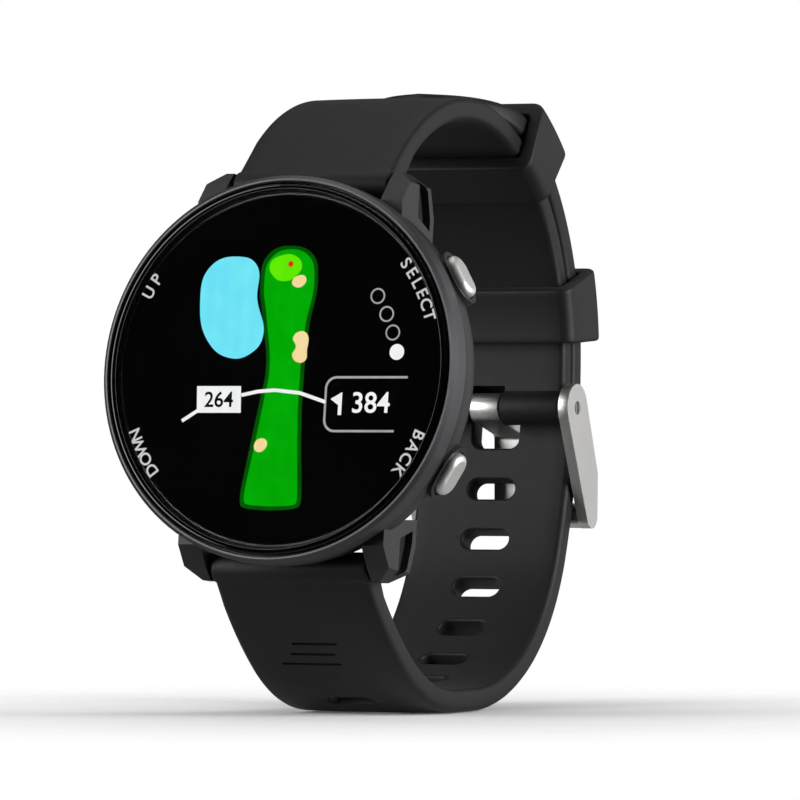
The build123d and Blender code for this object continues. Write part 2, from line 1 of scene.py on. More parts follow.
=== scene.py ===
"""Looks of the golf GPS watch: strap, keepers, display picture, finishes, lights and camera.

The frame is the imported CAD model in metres, +Z up, -Y towards the viewer.  Sizes here are
in millimetres and become metres where a mesh is made.
"""

from math import cos, pi, radians, sin

import bmesh
import bpy
from mathutils import Matrix, Vector


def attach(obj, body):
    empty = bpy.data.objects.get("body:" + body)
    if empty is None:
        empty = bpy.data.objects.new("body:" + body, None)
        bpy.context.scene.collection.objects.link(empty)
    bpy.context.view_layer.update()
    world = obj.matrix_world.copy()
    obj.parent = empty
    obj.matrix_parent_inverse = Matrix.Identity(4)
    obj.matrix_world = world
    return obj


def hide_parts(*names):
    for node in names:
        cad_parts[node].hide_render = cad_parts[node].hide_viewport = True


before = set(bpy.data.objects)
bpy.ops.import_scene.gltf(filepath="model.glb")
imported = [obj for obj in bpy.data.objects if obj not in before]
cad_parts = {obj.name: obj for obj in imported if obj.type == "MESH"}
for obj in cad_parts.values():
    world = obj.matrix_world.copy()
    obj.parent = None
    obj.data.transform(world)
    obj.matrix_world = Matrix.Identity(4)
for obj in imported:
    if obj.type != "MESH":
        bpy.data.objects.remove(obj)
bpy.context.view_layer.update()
MM = 0.001

# ---------------------------------------------------------------- sizes shared with the CAD
face_y, face_z, face_pitch = -31.62, 40.4, 7.5
long_thickness, short_thickness, layer_gap = 2.85, 2.75, 0.15
strap_width = 20.0
foot_y, foot_length = face_y + 30.8, 5.0
rear_arcs = [(27.0, 28.6), (23.5, 40.4), (67.6, 20.4), (30.4, 73.6), (29.3, 57.0)]
front_arcs = [(20.9, 38.2), (47.0, 15.2)]
bar_up, bar_depth, bar_eye_radius, bar_radius = 22.2, 7.7, 1.9, 0.9
long_start, long_tip, short_end = -26.5, 97.5, 122.2
tip_taper, tip_thickness, tip_round = 9.0, 1.5, 10.0
pin_station, pin_offset, pin_radius, eye_radius = 50.3, -2.35, 0.75, 2.1
tang_width, notch_room = 3.8, 0.35
slot_length, slot_height, held_slot_height = 6.1, 2.5, 4.8
slot_pitch, first_slot, held_slot, slots_below, slots_above = 6.33, 45.8, 46.9, 9, 3
groove_station, groove_pitch, groove_widths = -19.0, 1.7, (7.7, 5.8, 5.8)
window_start, window_length, window_height = 4.4, 4.2, 1.8
top_inward, bottom_inward = -30, 20
keeper_wall, keeper_side, keeper_side_gap, keeper_clearance = 1.75, 1.85, 0.15, 0.12
keeper_length, keeper_corner = 7.8, 1.6
glass_border = 20.7
keeper_stations = {"keeper_lower": 62.4, "keeper_upper": 84.5}

# ---------------------------------------------------------------- places
tilt = radians(face_pitch)
DIAL = Matrix((
    (1, 0, 0, 0),
    (0, sin(tilt), -cos(tilt), face_y * MM),
    (0, cos(tilt), sin(tilt), face_z * MM),
    (0, 0, 0, 1),
))


def dial_point(x, up, depth):
    """A place given from the middle of the face, in metres."""
    return DIAL @ Vector((x * MM, up * MM, -depth * MM))


def loop_point(station, offset=0.0):
    """(Y, Z) and heading of the strap's line, offset outwards, at a length from its foot."""
    sign = 1 if station >= 0 else -1
    left = abs(station)
    run = min(left, foot_length / 2)
    y, z, heading = foot_y + sign * run, long_thickness, 0.0
    left -= run
    for radius, turn in rear_arcs if sign > 0 else front_arcs:
        run = min(left, radius * radians(turn))
        turned = heading + sign * run / radius
        y += radius * (sin(turned) - sin(heading))
        z -= radius * (cos(turned) - cos(heading))
        heading = turned
        left -= run
    return y + offset * sin(heading), z - offset * cos(heading), heading


def on_strap(x, station, offset):
    """A place on the strap in metres: across it, along it and outwards."""
    y, z, _ = loop_point(station, offset)
    return Vector((x, y, z)) * MM


def flat_yz(point):
    """The (Y, Z) of a place in metres, in millimetres."""
    return point.y / MM, point.z / MM


top_bar = flat_yz(dial_point(0, bar_up, bar_depth))
bottom_bar = flat_yz(dial_point(0, -bar_up, bar_depth))
pin_place = loop_point(pin_station, pin_offset)[:2]


# ---------------------------------------------------------------- mesh tools
def new_piece(name, mesh, material):
    piece = bpy.data.objects.new(name, mesh)
    bpy.context.scene.collection.objects.link(piece)
    mesh.materials.clear()
    mesh.materials.append(material)
    return piece


def to_mesh(name, build):
    """A mesh from a bmesh, with its faces turned outwards."""
    bmesh.ops.remove_doubles(build, verts=build.verts, dist=1e-7)
    bmesh.ops.recalc_face_normals(build, faces=build.faces)
    mesh = bpy.data.meshes.new(name)
    build.to_mesh(mesh)
    build.free()
    return mesh


def loft(name, rings, wrap=False):
    """A closed skin over rings of points; wrap joins the last ring to the first."""
    build = bmesh.new()
    loops = [[build.verts.new(point) for point in ring] for ring in rings]
    count = len(rings[0])
    for first, second in zip(loops, loops[1:] + (loops[:1] if wrap else [])):
        for i in range(count):
            j = (i + 1) % count
            build.faces.new((first[i], first[j], second[j], second[i]))
    if not wrap:
        build.faces.new(loops[0])
        build.faces.new(loops[-1])
    return to_mesh(name, build)


def settle(piece):
    """Apply the piece's modifiers to its mesh."""
    evaluated = piece.evaluated_get(bpy.context.evaluated_depsgraph_get())
    mesh = bpy.data.meshes.new_from_object(evaluated)
    piece.modifiers.clear()
    piece.data = mesh
    return piece


def combine(piece, tool, operation):
    """Join a tool to a piece, or cut it away, and drop the tool."""
    step = piece.modifiers.new("combine", "BOOLEAN")
    step.operation = operation
    step.solver = "EXACT"
    step.object = tool
    settle(piece)
    bpy.data.objects.remove(tool)


def smooth(piece, angle=32):
    """Smooth shading that keeps edges sharper than the angle."""
    piece.data.shade_smooth()
    piece.data.set_sharp_from_angle(angle=radians(angle))


def round_section(width, low, high, edge, crown, across=11):
    """Points (across, outwards) of a strap section with rounded corners and a crowned face."""
    half, middle = width / 2, (low + high) / 2
    points = []
    for x, out, start in (
        (half - edge, high - edge, 0), (edge - half, high - edge, 90),
        (edge - half, low + edge, 180), (half - edge, low + edge, 270),
    ):
        for step in range(6):
            turn = radians(start + 18 * step)
            points.append((x + edge * cos(turn), out + edge * sin(turn)))
        if start in (0, 180):
            last = points[-1]
            for step in range(1, across):
                points.append((last[0] * (1 - 2 * step / across), last[1]))
    return [
        (x, out - (crown * (x / half) ** 2 if out > middle else 0)) for x, out in points
    ]


def turned_bar(name, centre, radius, half, edge, material):
    """A bar across the strap with rounded ends, about a (Y, Z) centre."""
    sides = 48
    turns = [2 * pi * i / sides for i in range(sides)]
    profile = [(-half, radius - edge)]
    profile += [
        (-half + edge * (1 - cos(radians(a))), radius - edge * (1 - sin(radians(a))))
        for a in (22.5, 45, 67.5, 90)
    ]
    profile += [(-x, r) for x, r in reversed(profile)]
    rings = [
        [
            Vector((x, centre[0] + r * cos(turn), centre[1] + r * sin(turn))) * MM
            for turn in turns
        ]
        for x, r in profile
    ]
    return new_piece(name, loft(name, rings), material)


# ---------------------------------------------------------------- material tools
def colour(code):
    """An sRGB hex colour as linear RGBA."""
    channels = [int(code[i:i + 2], 16) / 255 for i in (1, 3, 5)]
    return [c / 12.92 if c <= 0.04045 else ((c + 0.055) / 1.055) ** 2.4 for c in channels] + [1.0]


def add(tree, kind, inputs=None, **settings):
    """Add a node with settings; an input is a value or another node's output."""
    node = tree.nodes.new(kind)
    for name, value in settings.items():
        setattr(node, name, value)
    for name, value in (inputs or {}).items():
        if isinstance(value, bpy.types.NodeSocket):
            tree.links.new(value, node.inputs[name])
        else:
            node.inputs[name].default_value = value
    return node


def per(size):
    """Texture scale for a feature of this many millimetres, on Object coordinates."""
    return 1 / (size * MM)


def start_material(name):
    """A new material, its empty tree and the Object coordinates in it."""
    material = bpy.data.materials.new(name)
    material.use_nodes = True
    tree = material.node_tree
    tree.nodes.clear()
    place = add(tree, "ShaderNodeTexCoord").outputs["Object"]
    return material, tree, place


def finish_material(material, tree, kind, inputs):
    """Add the shader that a material ends in, of any kind, and wire it to the output."""
    surface = add(tree, kind, inputs).outputs[0]
    add(tree, "ShaderNodeOutputMaterial", {"Surface": surface})
    return material


noise_low, noise_high = 0.3, 0.7      # the part of its 0 to 1 that a noise mostly stays in


def moulded(name, dark, light, rough, grain, depth, ior=1.5, cloud=7.0, sheen=0.0):
    """A moulded or cast surface: two tones in soft clouds, and a fine even grain."""
    material, tree, place = start_material(name)
    clouds = add(tree, "ShaderNodeTexNoise", {"Vector": place, "Scale": per(cloud)}).outputs["Fac"]
    grains = add(tree, "ShaderNodeTexNoise", {"Vector": place, "Scale": per(grain)}).outputs["Fac"]
    tone = add(tree, "ShaderNodeMapRange", {
        "Value": clouds, "From Min": noise_low, "From Max": noise_high,
    }).outputs["Result"]
    shade = add(tree, "ShaderNodeMix", {
        "Factor": tone, 6: colour(dark), 7: colour(light),
    }, data_type="RGBA").outputs[2]
    roughness = add(tree, "ShaderNodeMapRange", {
        "Value": grains, "From Min": noise_low, "From Max": noise_high,
        "To Min": rough - 0.06, "To Max": rough + 0.06,
    }).outputs["Result"]
    relief = add(tree, "ShaderNodeBump", {"Height": grains, "Distance": depth * MM}).outputs["Normal"]
    return finish_material(material, tree, "ShaderNodeBsdfPrincipled", {
        "Base Color": shade, "Roughness": roughness, "Normal": relief, "IOR": ior, "Sheen Weight": sheen,
    })


def metal(name, dark, light, rough, grain, depth, stretch=(1, 1, 1), cloud=9.0):
    """A metal surface whose scratches or blast marks are drawn out by the stretch."""
    material, tree, place = start_material(name)
    drawn = add(tree, "ShaderNodeMapping", {"Vector": place, "Scale": stretch}).outputs[0]
    marks = add(tree, "ShaderNodeTexNoise", {
        "Vector": drawn, "Scale": per(grain), "Detail": 3.0,
    }).outputs["Fac"]
    clouds = add(tree, "ShaderNodeTexNoise", {"Vector": place, "Scale": per(cloud)}).outputs["Fac"]
    both = add(tree, "ShaderNodeMath", {0: marks, 1: clouds}, operation="ADD").outputs[0]
    tone = add(tree, "ShaderNodeMapRange", {
        "Value": both, "From Min": 0.7, "From Max": 1.3,
    }).outputs["Result"]
    shade = add(tree, "ShaderNodeMix", {
        "Factor": tone, 6: colour(dark), 7: colour(light),
    }, data_type="RGBA").outputs[2]
    roughness = add(tree, "ShaderNodeMapRange", {
        "Value": marks, "From Min": noise_low, "From Max": noise_high,
        "To Min": rough - 0.07, "To Max": rough + 0.09,
    }).outputs["Result"]
    relief = add(tree, "ShaderNodeBump", {"Height": marks, "Distance": depth * MM}).outputs["Normal"]
    return finish_material(material, tree, "ShaderNodeBsdfPrincipled", {
        "Base Color": shade, "Roughness": roughness, "Normal": relief, "Metallic": 1.0,
    })


# ---------------------------------------------------------------- materials
# Moulded silicone rubber: a matt, slightly dusty black with the fine grain of its mould.
silicone = moulded(
    "moulded_silicone_rubber", "#101011", "#151516", 0.56, 0.16, 0.006, ior=1.4,
    sheen=0.03,
)
# Glass-filled nylon, injection moulded: dark grey with a dense sparked texture.
case_nylon = moulded("moulded_glass_filled_nylon", "#1c1c1e", "#232325", 0.45, 0.14, 0.006, ior=1.5)
# Black vapour-deposited coating on steel, turned: its fine even marks catch the light.
coating = metal("black_coated_turned_steel", "#5a5a5c", "#646467", 0.48, 0.16, 0.001)
# Blasted stainless steel: an even satin silver.
button_steel = metal("blasted_stainless_steel", "#e4e3e1", "#eeedeb", 0.5, 0.1, 0.001)
# Brushed stainless steel: hairlines run along the buckle.
buckle_steel = metal(
    "brushed_stainless_steel", "#d6d5d3", "#e0dfdd", 0.38, 0.12, 0.0004, stretch=(1, 1, 0.05),
)
# Turned spring steel for the strap bars and clips: duller, with rings round the bar.
bar_steel = metal("turned_spring_steel", "#8c8b89", "#a9a8a5", 0.34, 0.1, 0.002, stretch=(1, 0.2, 0.2))
# Zinc-plated steel for the screws.
screw_steel = metal("plated_screw_steel", "#9c9a96", "#b8b6b1", 0.3, 0.1, 0.002)
# Gold flashed on nickel for the charging pads: warm and polished, lightly scuffed.
contact_gold = metal("flashed_gold", "#c79a45", "#e0b866", 0.2, 0.1, 0.001)
# Deep-drawn steel for the motor can.
motor_steel = metal("drawn_steel_can", "#8f908f", "#a5a6a4", 0.3, 0.15, 0.002, stretch=(1, 0.3, 0.3))
# Tin-plated steel sheet for the radio shield: bright, with the mottle of the plating.
shield_steel = metal("tinned_steel_sheet", "#a9aaa8", "#c4c5c2", 0.33, 0.3, 0.003, cloud=3.0)
# Nitrile rubber of the seals: dull black.
seal_rubber = moulded("moulded_nitrile_rubber", "#121212", "#191919", 0.66, 0.1, 0.004, ior=1.52)
# Black polycarbonate of the inner frame and the contact block.
frame_plastic = moulded("moulded_polycarbonate", "#1a1b1d", "#232427", 0.45, 0.2, 0.004, ior=1.58)
# Aluminised plastic film round the battery cell: dull silver with soft creases.
battery_film = metal("aluminised_pouch_film", "#8e9297", "#a7abb0", 0.36, 1.2, 0.03)
# Open-cell polyurethane foam: dark, very rough, with visible cells.
pad_foam = moulded("open_cell_foam", "#26272a", "#3a3b3f", 0.9, 0.35, 0.12, ior=1.4, cloud=0.5)
# Fired dielectric ceramic of the antenna: warm off-white and slightly glazed.
antenna_ceramic = moulded("fired_dielectric_ceramic", "#cfc3a6", "#ddd3ba", 0.3, 0.3, 0.003, ior=1.7)


def circuit_board():
    """Solder-masked glass epoxy: deep green lacquer over copper tracks that show as lines."""
    material, tree, place = start_material("solder_masked_glass_epoxy")
    tracks = add(
        tree, "ShaderNodeTexVoronoi", {"Vector": place, "Scale": per(1.6)}, distance="MANHATTAN",
    ).outputs["Distance"]
    line = add(tree, "ShaderNodeMapRange", {
        "Value": tracks, "From Min": 0.42, "From Max": 0.5,
    }).outputs["Result"]
    grains = add(tree, "ShaderNodeTexNoise", {"Vector": place, "Scale": per(0.3)}).outputs["Fac"]
    shade = add(tree, "ShaderNodeMix", {
        "Factor": line, 6: colour("#0c3a22"), 7: colour("#1d6238"),
    }, data_type="RGBA").outputs[2]
    roughness = add(tree, "ShaderNodeMapRange", {
        "Value": grains, "From Min": noise_low, "From Max": noise_high, "To Min": 0.3, "To Max": 0.42,
    }).outputs["Result"]
    relief = add(tree, "ShaderNodeBump", {"Height": line, "Distance": 0.03 * MM}).outputs["Normal"]
    return finish_material(material, tree, "ShaderNodeBsdfPrincipled", {
        "Base Color": shade, "Roughness": roughness, "Normal": relief, "IOR": 1.55,
    })


def flex_film():
    """Amber polyimide film with copper conductors, 0.4 mm apart, under it."""
    material, tree, place = start_material("polyimide_flex_film")
    waves = add(tree, "ShaderNodeTexWave", {"Vector": place, "Scale": per(0.4) / 20}).outputs["Fac"]
    line = add(tree, "ShaderNodeMapRange", {
        "Value": waves, "From Min": 0.45, "From Max": 0.55,
    }).outputs["Result"]
    grains = add(tree, "ShaderNodeTexNoise", {"Vector": place, "Scale": per(0.5)}).outputs["Fac"]
    shade = add(tree, "ShaderNodeMix", {
        "Factor": line, 6: colour("#a35a12"), 7: colour("#d28a35"),
    }, data_type="RGBA").outputs[2]
    roughness = add(tree, "ShaderNodeMapRange", {
        "Value": grains, "From Min": noise_low, "From Max": noise_high, "To Min": 0.25, "To Max": 0.35,
    }).outputs["Result"]
    relief = add(tree, "ShaderNodeBump", {"Height": line, "Distance": 0.01 * MM}).outputs["Normal"]
    return finish_material(material, tree, "ShaderNodeBsdfPrincipled", {
        "Base Color": shade, "Roughness": roughness, "Normal": relief,
    })


def watch_glass():
    """Polished mineral glass with a black border fired on its rim: clear over the display, with
    the faintest smear in its polish, and solid glossy black from the border outwards."""
    material, tree, place = start_material("polished_mineral_glass")
    smear = add(tree, "ShaderNodeTexNoise", {"Vector": place, "Scale": per(9.0)}).outputs["Fac"]
    on_dial = add(tree, "ShaderNodeVectorMath", {
        0: place, 1: (0, face_y * MM, face_z * MM),
    }, operation="SUBTRACT").outputs[0]
    turned = add(tree, "ShaderNodeMapping", {
        "Vector": on_dial, "Rotation": (radians(face_pitch), 0, 0), "Scale": (1, 0, 1),
    }).outputs[0]
    away = add(tree, "ShaderNodeVectorMath", {0: turned}, operation="LENGTH").outputs["Value"]
    clear = add(tree, "ShaderNodeMapRange", {
        "Value": away, "From Min": glass_border * MM, "From Max": (glass_border + 0.05) * MM,
        "To Min": 1.0, "To Max": 0.0,
    }).outputs["Result"]
    shade = add(tree, "ShaderNodeMix", {
        "Factor": clear, 6: colour("#030303"), 7: colour("#fdfefe"),
    }, data_type="RGBA").outputs[2]
    roughness = add(tree, "ShaderNodeMapRange", {
        "Value": smear, "From Min": noise_low, "From Max": noise_high, "To Min": 0.0, "To Max": 0.02,
    }).outputs["Result"]
    return finish_material(material, tree, "ShaderNodeBsdfPrincipled", {
        "Base Color": shade, "Roughness": roughness, "IOR": 1.5, "Transmission Weight": clear,
    })


def display_black():
    """Bonded display stack: near black, with the faint mottle of unlit cells."""
    material, tree, place = start_material("unlit_display_stack")
    cells = add(tree, "ShaderNodeTexNoise", {"Vector": place, "Scale": per(0.3)}).outputs["Fac"]
    shade = add(tree, "ShaderNodeMix", {
        "Factor": cells, 6: colour("#020203"), 7: colour("#050506"),
    }, data_type="RGBA").outputs[2]
    roughness = add(tree, "ShaderNodeMapRange", {
        "Value": cells, "From Min": noise_low, "From Max": noise_high, "To Min": 0.5, "To Max": 0.6,
    }).outputs["Result"]
    return finish_material(material, tree, "ShaderNodeBsdfPrincipled", {
        "Base Color": shade, "Roughness": roughness, "IOR": 1.03,
    })


def lit_cells(name, shade, edge):
    """Lit display cells: the colour breaks into columns 0.3 mm apart, coarser than real ones so
    that they show, and drifts a little between two shades."""
    material, tree, place = start_material(name)
    columns = add(tree, "ShaderNodeTexWave", {"Vector": place, "Scale": per(0.3) / 20}).outputs["Fac"]
    drift = add(tree, "ShaderNodeTexNoise", {"Vector": place, "Scale": per(3.0)}).outputs["Fac"]
    share = add(tree, "ShaderNodeMapRange", {
        "Value": drift, "From Min": noise_low, "From Max": noise_high,
    }).outputs["Result"]
    tone = add(tree, "ShaderNodeMix", {
        "Factor": share, 6: colour(shade), 7: colour(edge),
    }, data_type="RGBA").outputs[2]
    power = add(tree, "ShaderNodeMapRange", {
        "Value": columns, "To Min": 0.985, "To Max": 1.015,
    }).outputs["Result"]
    return finish_material(material, tree, "ShaderNodeEmission", {"Color": tone, "Strength": power})


glass = watch_glass()
dark_display = display_black()
board = circuit_board()
flex = flex_film()
water_lit = lit_cells("lit_display_water", "#6fe8ff", "#78f0ff")
rough_lit = lit_cells("lit_display_rough", "#014b01", "#036003")
fairway_lit = lit_cells("lit_display_fairway", "#00ab00", "#00b606")
green_lit = lit_cells("lit_display_green", "#5ff000", "#6cf808")
sand_lit = lit_cells("lit_display_sand", "#ffdb98", "#ffe6ac")
flag_lit = lit_cells("lit_display_flag", "#e03010", "#e84018")
white_lit = lit_cells("lit_display_white", "#f8f8f8", "#ffffff")
grey_lit = lit_cells("lit_display_grey", "#9c9c9c", "#b4b4b4")
# The dial labels are print, but they are drawn as lit cells that glow: a painted glow on the print.
label_print_painted_glow = lit_cells("printed_dial_labels_painted_glow", "#c6c6c6", "#d2d2d2")
ink = lit_cells("unlit_display_ink", "#050505", "#080808")


# ---------------------------------------------------------------- strap
def band_rings(stations, low, edge, crown):
    """Rings of the strap section; each station comes with its half width and its outer face."""
    rings = []
    for station, half, top in stations:
        corner = min(edge, half * 0.9, (top - low) * 0.45)
        section = round_section(2 * half, low, top, corner, crown)
        rings.append([on_strap(x, station, out) for x, out in section])
    return rings


def eye_rings(ring_section, station, low, high, centre):
    """Rings that swell from the end of a strap half to the eye round its bar."""
    inner, outer = loop_point(station, low)[:2], loop_point(station, high)[:2]
    span = Vector((outer[0] - inner[0], outer[1] - inner[1])).normalized() * bar_eye_radius
    eye_inner = Vector(centre) - span
    eye_outer = Vector(centre) + span
    rings = []
    for share in (1.0, 0.75, 0.5, 0.25):
        swell = share * share * (3 - 2 * share)
        start = Vector(inner).lerp(eye_inner, swell)
        end = Vector(outer).lerp(eye_outer, swell)
        rings.append([
            Vector((x, *start.lerp(end, (out - low) / (high - low)))) * MM for x, out in ring_section
        ])
    return rings


def slot_cutter(name, length, height, depth, lip, middle, material, end=None):
    """A slot-shaped tool whose ends flare, so that the slot it cuts has rounded lips."""
    end = end or height / 2
    levels = [(-depth - 1.0, lip)]
    levels += [(-depth + lip * (1 - cos(radians(a))), lip * (1 - sin(radians(a)))) for a in (0, 30, 60, 90)]
    levels += [(-level, grow) for level, grow in reversed(levels)]
    sides = 40
    rings = []
    for level, grow in levels:
        ring = []
        radius = end + grow
        for i in range(sides):
            turn = 2 * pi * (i + 0.5) / sides
            side = (length / 2 - end) * (1 if cos(turn) > 0 else -1)
            rise = (height / 2 - end) * (1 if sin(turn) > 0 else -1)
            ring.append(Vector((
                side + radius * cos(turn), rise + radius * sin(turn), level + middle,
            )) * MM)
        rings.append(ring)
    return new_piece(name, loft(name, rings), material)


def row_tree():
    """Node tree: copies of a shape at an equal pitch along a line, each turned to follow it."""
    tree = bpy.data.node_groups.new("row_along_strap", "GeometryNodeTree")
    sockets = (
        ("Line", "NodeSocketGeometry"), ("Shape", "NodeSocketObject"), ("Count", "NodeSocketInt"),
        ("First", "NodeSocketFloat"), ("Pitch", "NodeSocketFloat"), ("Finish", "NodeSocketMaterial"),
    )
    for name, kind in sockets:
        tree.interface.new_socket(name, in_out="INPUT", socket_type=kind)
    tree.interface.new_socket("Row", in_out="OUTPUT", socket_type="NodeSocketGeometry")
    given = add(tree, "NodeGroupInput").outputs
    curve = add(tree, "GeometryNodeMeshToCurve", {"Mesh": given["Line"]}).outputs[0]
    index = add(tree, "GeometryNodeInputIndex").outputs[0]
    length = add(
        tree, "ShaderNodeMath", {0: index, 1: given["Pitch"], 2: given["First"]}, operation="MULTIPLY_ADD",
    ).outputs[0]
    sample = add(tree, "GeometryNodeSampleCurve", {"Curves": curve, "Length": length}, mode="LENGTH")
    points = add(tree, "GeometryNodePoints", {
        "Count": given["Count"], "Position": sample.outputs["Position"],
    }).outputs[0]
    turn = add(
        tree, "FunctionNodeAlignEulerToVector", {"Vector": sample.outputs["Tangent"]},
        axis="Y", pivot_axis="X",
    ).outputs[0]
    shape = add(tree, "GeometryNodeObjectInfo", {"Object": given["Shape"]}).outputs["Geometry"]
    copies = add(tree, "GeometryNodeInstanceOnPoints", {
        "Points": points, "Instance": shape, "Rotation": turn,
    }).outputs[0]
    real = add(tree, "GeometryNodeRealizeInstances", {"Geometry": copies}).outputs[0]
    done = add(tree, "GeometryNodeSetMaterial", {"Geometry": real, "Material": given["Finish"]}).outputs[0]
    add(tree, "NodeGroupOutput", {"Row": done})
    return tree


row_of = row_tree()
line_start, line_step, line_steps = -30.0, 0.25, 440


def strap_line():
    """The strap's line as a wire, from the line start up."""
    build = bmesh.new()
    steps = [build.verts.new(on_strap(0, line_start + i * line_step, 0)) for i in range(line_steps)]
    for first, second in zip(steps, steps[1:]):
        build.edges.new((first, second))
    mesh = bpy.data.meshes.new("strap_line")
    build.to_mesh(mesh)
    build.free()
    return mesh


def row(name, shape, count, first, pitch, material):
    """A row of copies along the strap's line as one mesh; the shape is dropped."""
    piece = new_piece(name, strap_line(), material)
    step = piece.modifiers.new("row", "NODES")
    step.node_group = row_of
    given = {
        "Shape": shape, "Count": count, "First": (first - line_start) * MM, "Pitch": pitch * MM,
        "Finish": material,
    }
    for item in row_of.interface.items_tree:
        if item.item_type == "SOCKET" and item.in_out == "INPUT" and item.name in given:
            step[item.identifier] = given[item.name]
    settle(piece)
    bpy.data.objects.remove(shape)
    return piece


edge_round = 0.75
face_crown = 0.12
eye_edge = 0.4
slot_lip = 0.28
groove_height, groove_depth, groove_lip = 0.42, 0.36, 0.1
groove_shift, groove_shift_step = -1.5, 0.8

# long half: lug end, slotted length, thinned and rounded tip
stations = []
count = 152
slotted_end = long_tip - tip_round
for i in range(count + 1):
    station = long_start + (slotted_end - long_start) * i / count
    stations.append((station, strap_width / 2))
for i in range(1, 15):
    turn = radians(87 * i / 14)
    stations.append((slotted_end + tip_round * sin(turn), strap_width / 2 * cos(turn)))
long_stations = []
for station, half in stations:
    thinned = max(0.0, station - long_tip + tip_taper) / tip_taper
    long_stations.append((station, half, long_thickness - thinned * (long_thickness - tip_thickness)))
rings = band_rings(long_stations, 0, edge_round, face_crown)
long_section = round_section(strap_width, 0, long_thickness, edge_round, face_crown)
rings = eye_rings(long_section, long_start, 0, long_thickness, bottom_bar) + rings
long_half = new_piece("long_strap", loft("long_strap", rings), silicone)
eye = turned_bar("eye", bottom_bar, bar_eye_radius, strap_width / 2, eye_edge, silicone)
combine(long_half, eye, "UNION")

middle = -long_thickness / 2
for first, number, height in (
    (first_slot - slots_below * slot_pitch, slots_below, slot_height),
    (held_slot, 1, held_slot_height),
    (first_slot + slot_pitch, slots_above, slot_height),
):
    cutter = slot_cutter(
        "slot", slot_length, height, long_thickness / 2, slot_lip, middle, silicone, end=slot_height / 2,
    )
    combine(long_half, row("slots", cutter, number, first, slot_pitch, silicone), "DIFFERENCE")

# three plain grooves across the front of the strap
for index, width in enumerate(groove_widths):
    cutter = slot_cutter(
        "groove", width, groove_height, groove_depth, groove_lip, -long_thickness, silicone,
    )
    shift = groove_shift + groove_shift_step * index
    cutter.data.transform(Matrix.Translation((shift * MM, 0, 0)))
    station = groove_station - index * groove_pitch
    combine(long_half, row("grooves", cutter, 1, station, groove_pitch, silicone), "DIFFERENCE")

# short half: buckle end with its tube and notch, up to the top bar
short_low, short_high = -layer_gap - short_thickness, -layer_gap
count = 100
short_stations = [
    (pin_station + (short_end - pin_station) * i / count, strap_width / 2, short_high)
    for i in range(count + 1)
]
rings = band_rings(short_stations, short_low, edge_round, face_crown)
short_section = round_section(strap_width, short_low, short_high, edge_round, face_crown)
rings += reversed(eye_rings(short_section, short_end, short_low, short_high, top_bar))
short_half = new_piece("short_strap", loft("short_strap", rings), silicone)
for centre, radius in ((top_bar, bar_eye_radius), (pin_place, eye_radius)):
    combine(short_half, turned_bar("eye", centre, radius, strap_width / 2, eye_edge, silicone), "UNION")
notch = turned_bar("notch", pin_place, eye_radius + 0.6, tang_width / 2 + notch_room, 0.05, silicone)
combine(short_half, notch, "DIFFERENCE")


def lever_window(centre, inward):
    """The tool that opens an eye for the release lever."""
    build = bmesh.new()
    bmesh.ops.create_cube(build, size=1.0)
    mesh = to_mesh("window", build)
    reach = 4.8
    mesh.transform(
        Matrix.Translation(Vector((window_start + window_length / 2, *centre)) * MM)
        @ Matrix.Rotation(radians(inward), 4, "X")
        @ Matrix.Translation((0, reach / 2 * MM, 0))
        @ Matrix.Diagonal((window_length * MM, reach * MM, window_height * MM, 1))
    )
    return new_piece("window", mesh, silicone)


bore_room = 0.05
for half_strap, bores, window in (
    (long_half, [(bottom_bar, bar_radius)], (bottom_bar, bottom_inward)),
    (short_half, [(top_bar, bar_radius), (pin_place, pin_radius)], (top_bar, top_inward)),
):
    for centre, radius in bores:
        bore = turned_bar("bore", centre, radius + bore_room, strap_width, 0.1, silicone)
        combine(half_strap, bore, "DIFFERENCE")
    combine(half_strap, lever_window(*window), "DIFFERENCE")
    smooth(half_strap)
    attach(half_strap, "root")
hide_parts("strap_long")
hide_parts("strap_short")


# ---------------------------------------------------------------- keepers
def keeper(name, station):
    """A free loop of strap rubber with rounded edges, bent to the strap's curve."""
    low, high = short_low - keeper_clearance, long_thickness + keeper_clearance
    inner = round_section(strap_width + 2 * keeper_side_gap, low, high, 0.4, 0, across=15)
    outer = round_section(
        strap_width + 2 * keeper_side, low - keeper_wall, high + keeper_wall, keeper_corner, 0, across=15,
    )
    edge = 0.4
    half = keeper_length / 2
    profile = []                      # share of the wall from inside to outside, and length
    inset = edge / keeper_wall
    for share, length, start in ((1, half, 0), (0, half, 90), (0, -half, 180), (1, -half, 270)):
        flat = length - edge * (1 if length > 0 else -1)
        for step in range(4):
            turn = radians(start + 30 * step)
            profile.append((
                share + (inset if share == 0 else -inset) + inset * cos(turn),
                flat + edge * sin(turn),
            ))
        if start in (90, 270):        # steps along the face, so that it follows the strap's curve
            for step in range(1, 12):
                profile.append((share, flat * (1 - step / 6)))
    rings = []
    for share, along in profile:
        rings.append([
            on_strap(a[0] + (b[0] - a[0]) * share, station + along, a[1] + (b[1] - a[1]) * share)
            for a, b in zip(inner, outer)
        ])
    piece = new_piece(name, loft(name, rings, wrap=True), silicone)
    smooth(piece, 50)
    return piece


for name, station in keeper_stations.items():
    piece = keeper("rubber_" + name, station)
    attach(piece, name + "_body")
    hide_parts(name)


# ---------------------------------------------------------------- display picture
picture = {}


def put(name, points, faces):
    """Collect flat shapes, given as dial (x, up) points in millimetres, under a piece name."""
    held = picture.setdefault(name, ([], []))
    base = len(held[0])
    held[0].extend(points)
    held[1].extend([tuple(base + i for i in face) for face in faces])


